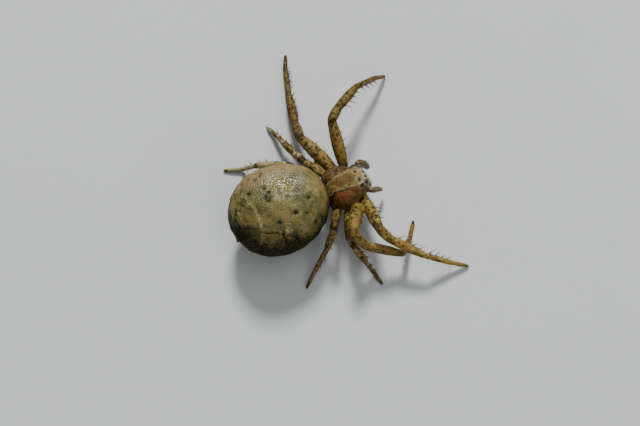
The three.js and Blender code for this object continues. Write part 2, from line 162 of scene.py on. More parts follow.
def newMaterial(name):
    material = bpy.data.materials.new(name)
    material.use_nodes = True
    tree = material.node_tree
    place = addNode(tree, "TexCoord", {}).outputs["Object"]
    millimetres = addNode(tree, "Mapping", {"Vector": place, "Scale": (1000, 1000, 1000)})
    return material, tree, tree.nodes["Principled BSDF"], millimetres.outputs["Vector"]


def mixColours(tree, factor, first, second):
    return addNode(tree, "Mix", {0: factor, 6: first, 7: second}, data_type="RGBA").outputs[2]


def rampValue(tree, value, low, high):
    return addNode(tree, "MapRange", {"Value": value, "From Min": low, "From Max": high},
                   interpolation_type="SMOOTHSTEP").outputs["Result"]


def spreadValue(tree, value, low, high):
    sockets = {"Value": value, "To Min": low, "To Max": high}
    return addNode(tree, "MapRange", sockets).outputs["Result"]


def calculate(tree, operation, first, second):
    return addNode(tree, "Math", {0: first, 1: second}, operation=operation).outputs[0]


def attribute(tree, name):
    return addNode(tree, "Attribute", {}, attribute_name=name).outputs["Fac"]


# Colours of the skin, one look for each part. Scales are in features per millimetre.
sharedLook = {"cell": 7.0, "bump": 0.8, "coat": 0.0, "dull": 0.0, "gloss": 0.0}
skinLooks = {
    "abdomenSkin": {
        "base": (0.184, 0.138, 0.022, 1), "other": (0.096, 0.094, 0.014, 1),
        # the dark colour is for the dots and also for the painted shade on the lower sides and in the
        # folds
        "pale": (0.36, 0.3, 0.125, 1), "dark": (0.008, 0.0075, 0.0025, 1),
        "rust": (0.23, 0.135, 0.04, 1), "white": (0.5, 0.43, 0.27, 1),
        "patch": 0.9, "mottle": 3.4, "cellDepth": 0.4, "dots": 0.45, "dotScale": 2.4,
        "dotSize": 0.1, "rough": 0.5, "relief": 0.000075, "shine": 0.38, "dull": 0.24,
        "gloss": 0.4,
    },
    "carapaceShell": {
        "base": (0.14, 0.088, 0.009, 1), "other": (0.075, 0.044, 0.006, 1),
        "pale": (0.25, 0.185, 0.04, 1), "dark": (0.01, 0.005, 0.002, 1),
        "rust": (0.15, 0.045, 0.004, 1), "white": (0.55, 0.45, 0.34, 1),
        "patch": 1.6, "mottle": 5.0, "cell": 6.0, "cellDepth": 0.45, "dots": 0.65, "dotScale": 3.6,
        "dotSize": 0.2, "rough": 0.56, "relief": 0.00008, "shine": 0.25, "bump": 0.9,
    },
    "legShell": {
        "base": (0.208, 0.122, 0.009, 1), "other": (0.124, 0.086, 0.007, 1),
        "pale": (0.325, 0.24, 0.05, 1), "dark": (0.026, 0.01, 0.002, 1),
        "rust": (0.19, 0.066, 0.006, 1), "white": (0.52, 0.43, 0.24, 1),
        "patch": 1.2, "mottle": 5.0, "cellDepth": 0.34, "dots": 0.85, "dotScale": 3.4,
        "dotSize": 0.22, "rough": 0.47, "relief": 0.00007, "shine": 0.24, "dull": 0.1,
        "coat": 0.02,
    },
    "jawShell": {
        "base": (0.172, 0.122, 0.018, 1), "other": (0.09, 0.068, 0.01, 1),
        "pale": (0.42, 0.33, 0.17, 1), "dark": (0.018, 0.01, 0.004, 1),
        "rust": (0.15, 0.06, 0.014, 1), "white": (0.6, 0.5, 0.38, 1),
        "patch": 1.8, "mottle": 6.0, "cellDepth": 0.3, "dots": 0.6, "dotScale": 4.5,
        "dotSize": 0.2, "rough": 0.44, "relief": 0.00005, "shine": 0.4, "coat": 0.08,
    },
}


def skinMaterial(name, look):
    material, tree, shader, place = newMaterial(name)

    def cloudy(scale, detail, roughness=0.5):
        return addNode(tree, "TexNoise", {"Vector": place, "Scale": scale, "Detail": detail,
                                          "Roughness": roughness}).outputs["Fac"]

    plus, minus, times, atLeast = (partial(calculate, tree, operation) for operation in (
        "ADD", "SUBTRACT", "MULTIPLY", "MAXIMUM"))
    mottle = cloudy(look["mottle"], 5.0, 0.65)
    fine = cloudy(look["cell"] * 1.6, 3.0)
    grain = rampValue(tree, fine, 0.4, 0.6)      # breaks the marks up finely
    cells = addNode(tree, "TexVoronoi", {"Vector": place, "Scale": look["cell"]},
                    feature="DISTANCE_TO_EDGE").outputs["Distance"]
    dots = addNode(tree, "TexVoronoi", {"Vector": place, "Scale": look["dotScale"]}).outputs
    dotShape = rampValue(tree, dots["Distance"], look["dotSize"] * 1.5, look["dotSize"])
    dotFactor = times(dotShape, rampValue(tree, dots["Color"], 0.46, 0.5))
    # markDark holds the dark marks, and in places painted shade as well
    darkness = attribute(tree, "markDark")
    wetness = attribute(tree, "markGloss")
    # colours laid one over another, each with how far it covers what is below
    layers = (("other", rampValue(tree, cloudy(look["patch"], 4.0), 0.4, 0.62)),
              ("pale", times(rampValue(tree, mottle, 0.5, 0.72), 0.45)),
              ("other", times(rampValue(tree, cells, 0.16, 0.02), look["cellDepth"])),
              ("rust", attribute(tree, "markRust")),
              ("pale", times(attribute(tree, "markPale"), minus(1.5, grain))),
              ("dark", times(dotFactor, look["dots"])),
              ("dark", times(darkness, plus(grain, 0.68))),
              ("white", attribute(tree, "markWhite")))
    colour = look["base"]
    for layer, factor in layers:
        colour = mixColours(tree, factor, colour, look[layer])
    dull = times(darkness, look["dull"])
    wet = times(wetness, look["gloss"])
    rough = spreadValue(tree, mottle, look["rough"] - 0.1, look["rough"] + 0.14)
    shine = plus(minus(look["shine"], times(dull, 1.4)), wet)
    bump = addNode(tree, "Bump", {
        "Height": plus(cells, times(fine, 0.5)), "Strength": look["bump"],
        "Distance": minus(look["relief"], times(wetness, look["relief"] * 0.3))})
    fill(tree, shader, {
        "Base Color": colour, "Roughness": minus(plus(rough, dull), wet),
        "Specular IOR Level": atLeast(shine, 0.02),
        "Normal": bump.outputs["Normal"], "Coat Weight": look["coat"], "Coat Roughness": 0.28,
        "Subsurface Weight": 0.12, "Subsurface Scale": 0.0002,
        "Subsurface Radius": (1.0, 0.5, 0.25)})
    return material


# Plainer looks, two colours in a fine grain. The marked ones also turn darker with markDark.
sharedPlain = {"scale": 6.0, "detail": 2.0, "grain": 0.5, "spread": 0, "coat": 0, "marked": True}
plainLooks = {
    "eyeLens": {"colour": (0.012, 0.007, 0.005, 1), "other": (0.006, 0.0035, 0.0025, 1),
                "rough": 0.08, "spread": 0.05, "coat": 0.6, "scale": 8.0, "detail": 3.0,
                "grain": 1.0, "marked": False},
    "spineHorn": {"colour": (0.18, 0.09, 0.035, 1), "other": (0.05, 0.02, 0.01, 1), "rough": 0.35},
    "bristleHair": {"colour": (0.42, 0.28, 0.13, 1), "other": (0.06, 0.03, 0.015, 1), "rough": 0.5},
    "clawHorn": {"colour": (0.06, 0.03, 0.015, 1), "other": (0.015, 0.008, 0.005, 1),
                 "rough": 0.25},
    "paleFloor": {"colour": (0.6, 0.62, 0.61, 1), "other": (0.55, 0.57, 0.56, 1), "rough": 0.8,
                  "scale": 0.05, "grain": 1.0, "marked": False},
}


def plainMaterial(name):
    look = {**sharedPlain, **plainLooks[name]}
    material, tree, shader, place = newMaterial(name)
    grain = addNode(tree, "TexNoise", {"Vector": place, "Scale": look["scale"],
                                       "Detail": look["detail"]}).outputs["Fac"]
    colour = look["colour"]
    if look["marked"]:
        colour = mixColours(tree, attribute(tree, "markDark"), colour, look["other"])
    grainFactor = calculate(tree, "MULTIPLY", grain, look["grain"])
    colour = mixColours(tree, grainFactor, colour, look["other"])
    rough = look["rough"]
    if look["spread"]:
        rough = spreadValue(tree, grain, rough - look["spread"], rough + look["spread"])
    fill(tree, shader, {"Base Color": colour, "Roughness": rough, "Coat Weight": look["coat"],
                        "Coat Roughness": 0.05})
    return material


# Making shapes. Each is a closed shell; the skin is their union.

def meshFrom(name, bm):
    mesh = bpy.data.meshes.new(name)
    bm.to_mesh(mesh)
    bm.free()
    return mesh


def ball(fineness, radius=1):
    bm = bmesh.new()
    bmesh.ops.create_icosphere(bm, subdivisions=fineness, radius=radius)
    return bm


def spunOutline(outline, steps):
    # points given by radius and height, turned once round the Z axis
    bm = bmesh.new()
    verts = [bm.verts.new((radius, 0, height)) for radius, height in outline]
    edges = [bm.edges.new(pair) for pair in zip(verts, verts[1:])]
    bmesh.ops.spin(bm, geom=verts + edges, cent=(0, 0, 0), axis=(0, 0, 1),
                   angle=math.tau, steps=steps, use_merge=True)
    return bm


def sideAxes(direction):
    # the back of a tube, turned upwards as far as it can be, and the axis across it
    back = (up - direction * up.dot(direction)).normalized()
    return back, direction.cross(back)


tubeSteps = 28


def spunTube(start, end, profile, bow=0.0):
    # profile: places along the tube, from 0 to 1, with the half thickness at each
    direction = Vector(end) - Vector(start)
    length = direction.length
    direction.normalize()
    outline = [(radius, place * length) for place, radius in profile]
    bm = spunOutline([(0, outline[0][1])] + outline + [(0, outline[-1][1])], tubeSteps)
    back, across = sideAxes(direction)
    turn = Matrix((across, back, direction)).transposed().to_4x4()
    for vert in bm.verts:
        vert.co.y += bow * math.sin(math.pi * min(max(vert.co.z / length, 0), 1))
    bmesh.ops.transform(bm, matrix=Matrix.Translation(start) @ turn, verts=bm.verts)
    return bm


def ellipsoidShape(centre, size):
    bm = ball(3)
    bmesh.ops.scale(bm, vec=size, verts=bm.verts)
    bmesh.ops.translate(bm, vec=centre, verts=bm.verts)
    return bm


def mirrored(place, side):
    return Vector((place[0] * side, place[1], place[2]))


def smoothTable(places, values, place):
    # a smooth curve through the values
    place = min(max(place, places[0]), places[-1])
    index = min(max(np.searchsorted(places, place) - 1, 0), len(places) - 2)
    slopes = np.gradient(values, places)
    width = places[index + 1] - places[index]
    t = (place - places[index]) / width
    return ((2 * t**3 - 3 * t**2 + 1) * values[index]
            + (t**3 - 2 * t**2 + t) * width * slopes[index]
            + (3 * t**2 - 2 * t**3) * values[index + 1]
            + (t**3 - t**2) * width * slopes[index + 1])


shield = {
    "front": -1.68, "rear": 1.63, "rimHeight": 2.0, "rimDepth": 0.13,
    "places": [-1.7, -1.25, -0.7, -0.05, 0.55, 1.1, 1.45, 1.65],
    "halfWidths": [0.74, 0.93, 1.28, 1.56, 1.63, 1.46, 1.18, 0.88],
    "tops": [2.64, 2.9, 3.04, 3.1, 3.08, 2.8, 2.44, 2.14],
}


def shieldShape(grown=0.0):
    middle = (shield["front"] + shield["rear"]) / 2
    halfLength = (shield["rear"] - shield["front"]) / 2
    bm = ball(6)
    for vert in bm.verts:
        p = vert.co
        y = middle + halfLength * p.y
        ring = math.hypot(p.x, p.z)
        across, upwards = (p.x / ring, p.z / ring) if ring > 0 else (0, 0)
        blunt = ring ** (0.42 if p.y < 0 else 0.55)
        halfWidth = smoothTable(shield["places"], shield["halfWidths"], y)
        top = smoothTable(shield["places"], shield["tops"], y)
        height = top - shield["rimHeight"] if upwards > 0 else shield["rimDepth"]
        vert.co = (across * (blunt * halfWidth + grown),
                   y + grown * p.y,
                   shield["rimHeight"] + upwards * (blunt * height + grown))
    return bm


globe = {
    "centre": (0.28, 4.56, 2.76), "size": (3.08, 3.37, 2.39), "widest": 0.06,
    "frontLift": 0.4, "frontFullness": 0.1, "yaw": math.radians(-6.4),
}
yawTurn = Matrix.Rotation(globe["yaw"], 3, "Z")


def globePlace(p):
    # from the unit ball to the abdomen
    ring = math.hypot(p[0], p[2])
    fuller = ring ** -globe["frontFullness"] if p[1] < 0 and ring > 0 else 1
    wider = fuller * (1 + globe["widest"] * p[1] * (1 - p[1] ** 2))
    halfWidth, halfLength, halfHeight = globe["size"]
    lift = globe["frontLift"] * max(0, -p[1]) ** 2
    own = Vector((p[0] * wider * halfWidth, p[1] * halfLength, p[2] * wider * halfHeight + lift))
    return yawTurn @ own + Vector(globe["centre"])


def globeShape():
    bm = ball(6)
    for vert in bm.verts:
        vert.co = globePlace(vert.co)
    return bm


# Legs: piece lengths from femur to tarsus, and half thicknesses at root, middle and end
frontEnds = {"metatarsus": (0.205, 0.2, 0.175), "tarsus": (0.155, 0.15, 0.105)}
rearEnds = {"patella": (0.24, 0.275, 0.24), "tibia": (0.215, 0.255, 0.19),
            "metatarsus": (0.175, 0.17, 0.15), "tarsus": (0.14, 0.135, 0.095)}
legPairs = {
    1: {"lengths": (3.3, 1.16, 2.42, 2.04, 1.16), "rootHeight": 1.65, "coxa": 0.28, **frontEnds,
        "femur": (0.27, 0.42, 0.3), "patella": (0.29, 0.33, 0.29), "tibia": (0.27, 0.315, 0.22)},
    2: {"lengths": (3.42, 1.55, 2.5, 2.08, 1.1), "rootHeight": 1.65, "coxa": 0.28, **frontEnds,
        "femur": (0.28, 0.455, 0.31), "patella": (0.3, 0.345, 0.3), "tibia": (0.28, 0.325, 0.22)},
    3: {"lengths": (2.03, 1.0, 1.36, 1.18, 0.78), "rootHeight": 1.62, "coxa": 0.24,
        "femur": (0.22, 0.315, 0.25), **rearEnds},
    4: {"lengths": (2.33, 1.0, 1.64, 1.54, 1.24), "rootHeight": 1.5, "coxa": 0.25,
        "femur": (0.22, 0.325, 0.25), **rearEnds},
}
legPieces = ("femur", "patella", "tibia", "metatarsus", "tarsus")
footHeight = 0.12
femurBow = 0.1
coxaLength = 0.95
coxaDrop = 0.3

# Posture of each leg: femur root, heading of its pieces outwards from straight ahead, in
# degrees, and the rise of the first four. The last slopes to the floor.
postures = {
    (1, "left"): ((1.42, -0.63), (77, 44, 34, 18, 19), (36, -19, -23, -37)),
    (1, "right"): ((1.36, -0.87), (94, 58, 51, 33, 30), (28, -53, -14, -31)),
    (2, "left"): ((1.47, 0.03), (107, 83, 76, 72, 66), (1, -27, -5, -10)),
    (2, "right"): ((1.47, -0.27), (118, 52, 32, -52, -52), (35, -57, -24, -38)),
    (3, "left"): ((1.42, 0.7), (115, 108, 104, 100, 107), (-6, -16, -10, -25)),
    (3, "right"): ((1.42, 0.42), (114, 90, 74, 70, 82), (9, 11, -44, -57)),
    (4, "left"): ((1.15, 1.38), (119, 152, 143, 141, 153), (7, 15, -26, -45)),
    (4, "right"): ((1.18, 1.1), (116, 167, 158, 149, 144), (47, -75, -56, -18)),
}


def legJoints(pair, sideName):
    root, headings, rises = postures[pair, sideName]
    side = sides[sideName]
    joints = [mirrored((*root, legPairs[pair]["rootHeight"]), side)]
    for index, length in enumerate(legPairs[pair]["lengths"]):
        last = joints[-1]
        heading = math.radians(headings[index])
        if index < len(rises):
            rise = math.radians(rises[index])
        else:
            rise = math.asin((footHeight - last.z) / length)
        joints.append(last + length * Vector((side * math.sin(heading) * math.cos(rise),
                                              -math.cos(heading) * math.cos(rise),
                                              math.sin(rise))))
    return joints


limbs = {}     # every limb piece: its ends, length and direction, half thicknesses and bow


def addLimb(name, start, end, radii, bow=0):
    way = end - start
    limbs[name] = {"start": start, "end": end, "length": way.length, "along": way.normalized(),
                   "radii": radii, "bow": bow}


def limbTube(limb, grown=0.0):
    near, middle, far = (radius + grown for radius in limb["radii"])
    before = -near * 0.6 / limb["length"]      # the rounded ends reach past the joints
    after = 1 + far * 0.6 / limb["length"]
    profile = [(before, near * 0.45), (before * 0.75, near * 0.75), (before * 0.3, near * 0.95),
               (0.1, near * 0.55 + middle * 0.45), (0.25, near * 0.15 + middle * 0.85),
               (0.42, middle), (0.6, middle * 0.97 + far * 0.03),
               (0.8, middle * 0.55 + far * 0.45), (0.94, far * 1.02),
               (1 + (after - 1) * 0.3, far * 0.95), (1 + (after - 1) * 0.75, far * 0.75),
               (after, far * 0.45)]
    return spunTube(limb["start"], limb["end"], profile, limb["bow"])


for pair, sizes in legPairs.items():
    for sideName, side in sides.items():
        joints = legJoints(pair, sideName)
        coxa = sizes["coxa"]
        inner = Vector((joints[0].x - side * coxaLength, joints[0].y, joints[0].z - coxaDrop))
        addLimb(f"leg{pair}_{sideName}_coxa", inner, joints[0], (coxa, coxa, coxa * 0.92))
        for piece, start, end in zip(legPieces, joints, joints[1:]):
            addLimb(f"leg{pair}_{sideName}_{piece}", start, end, sizes[piece],
                    femurBow if piece == "femur" else 0)

# Feelers beside the jaws: joints, from root to tip, and half thicknesses of each piece
feelers = {
    "left": [(0.24, -0.92, 1.38), (0.5, -1.24, 1.42), (1.2, -1.6, 1.66), (1.18, -1.95, 1.22),
             (1.06, -2.14, 0.6)],
    "right": [(-0.24, -0.92, 1.38), (-0.5, -1.24, 1.42), (-0.94, -1.56, 1.62), (-0.9, -1.98, 1.2),
              (-0.78, -2.26, 0.58)],
}
feelerRadii = {
    "left": ((0.18, 0.2, 0.21), (0.24, 0.29, 0.28), (0.28, 0.29, 0.25), (0.24, 0.24, 0.13)),
    "right": ((0.16, 0.17, 0.17), (0.17, 0.2, 0.18), (0.18, 0.2, 0.17), (0.165, 0.165, 0.09)),
}
for sideName, joints in feelers.items():
    for index, radii in enumerate(feelerRadii[sideName]):
        addLimb(f"feeler_{sideName}_{index}", Vector(joints[index]), Vector(joints[index + 1]), radii)

# Rounded forms of the head: centre and half size. Those off the middle are paired.
headForms = {
    "sternum": ((0, 0.05, 1.62), (0.73, 1.24, 0.59)),
    "lip": ((0, -0.86, 1.14), (0.13, 0.2, 0.15)),
    "mouthPlate": ((0.2, -0.94, 1.22), (0.155, 0.2, 0.25)),
    "jaw": ((0.3, -1.58, 1.3), (0.19, 0.23, 0.45)),
}
eyes = {
    "anterior_median": {"place": (0.17, -1.56, 2.46), "radius": 0.09, "mound": 0},
    "anterior_lateral": {"place": (0.5, -1.38, 2.46), "radius": 0.13, "mound": 0.23},
    "posterior_median": {"place": (0.32, -1.08, 2.86), "radius": 0.085, "mound": 0},
    "posterior_lateral": {"place": (0.68, -1.04, 2.64), "radius": 0.115, "mound": 0.21},
}
eyeBead = 0.84      # the glossy bead is this much of the eye's radius


def eyeCentre(eye, side):
    base = mirrored(eye["place"], side)
    look = Vector((base.x, -0.55, 0.45)).normalized()
    return base + look * (eye["mound"] * 0.8 - 0.02)


# The skin: one closed surface over the whole body
skinSettings = {
    "voxel": 0.0645, "smoothing": 2,
    "abdomenGap": 0.24, "legGap": 0.2,     # room in the abdomen round the shield and last femora
    "floorGap": 0.012,                     # feet rest on small flats just above the floor
}
stalk = {
    "start": (0, 0.7, 1.62), "end": (0, 2.9, 1.75), "profile": [(0, 0.2), (0.5, 0.2), (1, 0.22)],
    "hollowEnd": (0, 2.3, 1.62), "hollow": [(0, 0.45), (0.5, 0.45), (1, 0.3)],
}
jawBase = {"start": (0.26, -1.2, 2.0), "end": (0.29, -1.62, 1.5),
           "profile": [(0, 0.12), (0.4, 0.17), (1, 0.15)]}
spinnerets = {"length": 0.42, "radius": 0.15, "heights": (1.12, 1.46), "offsets": (-0.24, 0, 0.24),
              "inset": 0.62, "rootLength": 0.28, "droop": 0.5}
skinBuild = bmesh.new()
skinParts = []      # the part that each face of skinBuild belongs to


def joinMesh(name, mesh):
    skinBuild.from_mesh(mesh)
    skinParts.extend([name] * len(mesh.polygons))
    bpy.data.meshes.remove(mesh)


def joinShell(name, bm):
    bmesh.ops.remove_doubles(bm, verts=bm.verts, dist=1e-5)
    bmesh.ops.recalc_face_normals(bm, faces=bm.faces)
    joinMesh(name, meshFrom("shell", bm))


def evaluatedMesh(thing):
    bpy.context.view_layer.update()
    graph = bpy.context.evaluated_depsgraph_get()
    return bpy.data.meshes.new_from_object(thing.evaluated_get(graph))


def discard(thing):
    mesh = thing.data
    bpy.data.objects.remove(thing)
    bpy.data.meshes.remove(mesh)


# The abdomen gives way to the shield, the stalk and the last legs
globeScrap = addObject("globeScrap", meshFrom("globeScrap", globeShape()))
cutterShapes = [shieldShape(skinSettings["abdomenGap"]),
                spunTube(stalk["start"], stalk["hollowEnd"], stalk["hollow"])]
cutterShapes += [limbTube(limbs[f"leg4_{sideName}_femur"], skinSettings["legGap"])
                 for sideName in sides]
cutters = [addObject("cutter", meshFrom("cutter", shape)) for shape in cutterShapes]
for cutter in cutters:
    cutter.data.update()
    carve = globeScrap.modifiers.new("carve", "BOOLEAN")
    carve.operation = "DIFFERENCE"
    carve.solver = "MANIFOLD"
    carve.object = cutter
carvedMesh = evaluatedMesh(globeScrap)
print("abdomen carved:", len(carvedMesh.polygons), "faces")
joinMesh("abdomen", carvedMesh)
for scrap in cutters + [globeScrap]:
    discard(scrap)

joinShell("shield", shieldShape())
joinShell("stalk", spunTube(stalk["start"], stalk["end"], stalk["profile"]))
for name, (centre, size) in headForms.items():
    for side in (1, -1) if centre[0] else (1,):
        joinShell(name, ellipsoidShape(mirrored(centre, side), size))
for side in sides.values():
    joinShell("jaw", spunTube(mirrored(jawBase["start"], side), mirrored(jawBase["end"], side),
                              jawBase["profile"]))
    for eye in eyes.values():
        if eye["mound"]:
            size = eye["mound"] * 0.96
            joinShell("eyeMound", ellipsoidShape(mirrored(eye["place"], side), (size,) * 3))

rearward = yawTurn @ Vector((0, math.cos(spinnerets["droop"]), -math.sin(spinnerets["droop"])))
radius = spinnerets["radius"]
for offset in spinnerets["offsets"]:
    for height in spinnerets["heights"]:
        start = Vector((offset, globe["size"][1] - spinnerets["inset"], 0))
        start = yawTurn @ start + Vector(globe["centre"])
        start.z = height
        end = start + rearward * (spinnerets["length"] + spinnerets["rootLength"])
        joinShell("spinneret", spunTube(start, end, [
            (0, radius), (0.7, radius * 0.9), (0.9, radius * 0.6), (1, radius * 0.25)]))
for name, limb in limbs.items():
    joinShell(name, limbTube(limb))

skinBuild.faces.ensure_lookup_table()
sourceTree = BVHTree.FromBMesh(skinBuild)
skinScrap = addObject("skinScrap", meshFrom("skinScrap", skinBuild))
remesh = skinScrap.modifiers.new("oneSkin", "REMESH")
remesh.mode = "VOXEL"
remesh.voxel_size = skinSettings["voxel"]
skinMesh = evaluatedMesh(skinScrap)
discard(skinScrap)
print("skin joined:", len(skinMesh.polygons), "faces")


def outerShell(bm):
    # the shell with the farthest point, because the voxels leave others inside it
    first = max(bm.verts, key=lambda vert: vert.co.x)
    shell, waiting = {first}, [first]
    while waiting:
        vert = waiting.pop()
        for edge in vert.link_edges:
            other = edge.other_vert(vert)
            if other not in shell:
                shell.add(other)
                waiting.append(other)
    return shell


skinForm = bmesh.new()
skinForm.from_mesh(skinMesh)
kept = outerShell(skinForm)
bmesh.ops.delete(skinForm, geom=[v for v in skinForm.verts if v not in kept], context="VERTS")
for _ in range(skinSettings["smoothing"]):
    bmesh.ops.smooth_vert(skinForm, verts=skinForm.verts, factor=0.5, use_axis_x=True,
                          use_axis_y=True, use_axis_z=True)
skinForm.to_mesh(skinMesh)
skinForm.free()
print("skin smoothed:", len(skinMesh.vertices), "points")


def readNumbers(items, name, perItem=1, kind=int):
    values = np.empty(len(items) * perItem, dtype=kind)
    items.foreach_get(name, values)
    return values


def readVectors(mesh, name):
    return readNumbers(mesh.vertices, name, 3, float).reshape(-1, 3)


def addMark(mesh, name, values):
    layer = mesh.attributes.new(name, "FLOAT", "POINT")
    layer.data.foreach_set("value", np.array(values, dtype=np.float32))


# Where each point of the skin belongs
points = readVectors(skinMesh, "co")
partOf = np.array([skinParts[sourceTree.find_nearest(Vector(p))[2]] for p in points])
print("parts found")


def limbCoordinates(limb, cloud):
    # place along the limb, and the cosine and sine of the turn from its back
    along = np.array(limb["along"])
    back, across = (np.array(axis) for axis in sideAxes(limb["along"]))
    offset = cloud - np.array(limb["start"])
    place = offset @ along / limb["length"]
    outward = offset - np.outer(offset @ along, along)
    outward -= limb["bow"] * np.sin(np.pi * np.clip(place, 0, 1))[:, None] * back
    size = np.linalg.norm(outward, axis=1) + 1e-9
    return place, outward @ back / size, outward @ across / size


def bell(distance, width):
    return np.exp(-((distance / width) ** 2))


def step(value, low, high):
    t = np.clip((value - low) / (high - low), 0, 1)
    return t * t * (3 - 2 * t)


def noiseAt(cloud, scale, seed):
    offset = Vector((seed, seed * 1.7, seed * 2.3))
    return np.array([noise.noise(Vector(p) * scale + offset) for p in cloud])


def patchy(cloud, scale, seed, low, high):
    return step(noiseAt(cloud, scale, seed), low, high)


def farFrom(cloud, spot):
    return np.linalg.norm(cloud - np.array(spot), axis=1)


# how far each mark covers each point, the dark one holding painted shade too, and how far the point
# moves outwards, in mm
dark, pale, rust, white, gloss, push = np.zeros((6, len(points)))
atlas = np.zeros((len(points), 2))      # the skin laid flat, each part on its own patch

# Abdomen: sunk pits in pairs, dark dots, side streaks and folds, in its own millimetres
abdomenMarks = {
    "pits": [
        (0.92, 1.5, 2.14), (0.82, 0.39, 2.37), (0.41, 0.2, 2.44), (-0.2, 0.36, 2.46),
        (-1.76, 0.23, 2.03), (-0.78, -2.12, 1.99), (-1.51, -0.98, 2.04), (-2.21, -2.06, 1.06)],
    "dots": [
        (1.95, 0.34, 1.92), (1.76, 0.84, 1.98), (1.97, 1.72, 1.53), (2.12, 1.13, 1.67),
        (0.17, 0.45, 2.45), (0.04, 0.15, 2.46), (-0.26, -0.82, 2.38), (-1.68, -1.67, 1.76),
        (0.78, 1.9, 2.0), (-2.94, -0.28, 0.77), (-2.96, 0.42, 0.6), (-2.43, 1.63, 1.11)],
    "streaks": [
        [(0.4, 2.66, 1.55), (0.0, 2.92, 1.32), (-0.58, 2.9, 1.26), (-1.34, 2.87, 0.88),
         (-1.72, 2.76, 0.61)],
        [(2.16, 0.26, 1.78), (1.98, 0.46, 1.88)],
        [(-2.25, 0.18, 1.71), (-2.57, 0.34, 1.39)],
        [(0.7, 2.33, 1.76), (0.18, 2.04, 2.02), (-0.18, 1.72, 2.17), (-0.41, 1.5, 2.24)]],
    "creases": [
        [(1.18, 1.93, 1.87), (0.55, 1.77, 2.11), (-0.03, 1.6, 2.22), (-0.62, 1.43, 2.23),
         (-1.21, 1.46, 2.06), (-1.72, 1.46, 1.83), (-2.32, 1.7, 1.2)],
        [(0.54, 2.63, 1.56), (-0.2, 2.58, 1.65), (-0.81, 2.5, 1.6)],
        [(-1.57, -1.23, 1.95), (-1.75, -0.69, 1.97), (-2.08, -0.2, 1.82),
         (-2.64, 0.12, 1.31)]],
    "palePatches": [
        (-1.16, -2.12, 1.86, 0.26), (-0.18, -0.39, 2.43, 0.48),
        (-0.3, 0.61, 2.43, 0.26), (-2.33, -0.09, 1.63, 0.26)],
    "amberPatches": [
        (-1.17, 0.95, 2.22, 0.5), (-1.49, -0.45, 2.13, 0.36),
        (-0.64, 2.27, 1.82, 0.42), (1.32, 1.23, 2.09, 0.36)],
    "wet": {"centre": (0.24, -0.26, 0.94), "along": (-0.51, -0.86, 0.0), "size": (0.62, 0.38)},
    "dotSize": 0.1, "pitSize": 0.16, "haloSize": 0.22, "streakWidth": 0.08, "creaseWidth": 0.14,
}


def nearLine(cloud, line, width):
    best = np.full(len(cloud), 9.0)
    for first, second in zip(line, line[1:]):
        first, second = np.array(first), np.array(second)
        way = second - first
        t = np.clip((cloud - first) @ way / (way @ way), 0, 1)
        best = np.minimum(best, np.linalg.norm(cloud - first - t[:, None] * way, axis=1))
    return bell(best, width)


inAbdomen = np.isin(partOf, ["abdomen", "spinneret"])
own = (points[inAbdomen] - np.array(globe["centre"])) @ np.array(yawTurn)
unit = own / np.array(globe["size"])
unitX, unitY, unitZ = unit.T
dotSize, creaseWidth = abdomenMarks["dotSize"], abdomenMarks["creaseWidth"]
darker, raised, paler, amber = np.zeros((4, len(own)))
for pit in abdomenMarks["pits"]:
    distance = farFrom(own, pit)
    darker += 1.2 * bell(distance, dotSize) + 0.4 * bell(distance, abdomenMarks["haloSize"])
    raised -= 0.06 * bell(distance, abdomenMarks["pitSize"])
for dot in abdomenMarks["dots"]:
    darker += 1.3 * bell(farFrom(own, dot), dotSize)
for streak in abdomenMarks["streaks"]:
    darker += 0.95 * nearLine(own, streak, abdomenMarks["streakWidth"])
    raised -= 0.03 * nearLine(own, streak, abdomenMarks["streakWidth"] * 1.5)
for crease in abdomenMarks["creases"]:
    onCrease = nearLine(own, crease, creaseWidth)
    paler += onCrease
    raised += 0.035 * onCrease
for *spot, size in abdomenMarks["palePatches"]:
    paler += 0.55 * bell(farFrom(own, spot), size)
for *spot, size in abdomenMarks["amberPatches"]:
    amber += 0.85 * bell(farFrom(own, spot), size)
wet = abdomenMarks["wet"]
fromWet = unit - np.array(wet["centre"])
alongWet = fromWet @ np.array(wet["along"])
besideWet = np.sqrt(np.maximum(0, np.einsum("ij,ij->i", fromWet, fromWet) - alongWet**2))
gloss[inAbdomen] = bell(alongWet, wet["size"][0]) * bell(besideWet, wet["size"][1])
# folds run round the back in rings, deepest at the rear and on the sides
outwardness = np.hypot(unitX, unitY)
turnRound = np.arctan2(unitX, unitY)
wander = noiseAt(own, 0.7, 3.0)
ringArea = step(outwardness, 0.55, 0.85) * step(unitY, -0.55, 0.25) * step(unitZ, -0.7, 0.0)
folds = np.sin(outwardness * 44 + wander * 9)
broken = patchy(own, 1.3, 17.0, -0.25, 0.2)
raised += ringArea * folds * broken * 0.03
spread = np.stack([turnRound * 3.0, outwardness * 1.1, turnRound * 0], axis=1)
spokes = patchy(spread, 1.5, 13.0, 0.12, 0.42) * step(outwardness, 0.25, 0.5)
raised += noiseAt(own, 1.6, 9.0) * 0.04 + noiseAt(own, 4.5, 5.0) * 0.012 - 0.02 * spokes
# painted shade in the troughs of the folds
paintedFoldShade = ringArea * step(-folds, 0.55, 1.0) * broken
blotch = patchy(own, 1.5, 27.0, 0.02, 0.3)
smallBlotch = patchy(own, 4.0, 29.0, 0.12, 0.34)
frontRim = step(unitX, 0.35, 0.62) * step(unitZ, 0.0, 0.4)
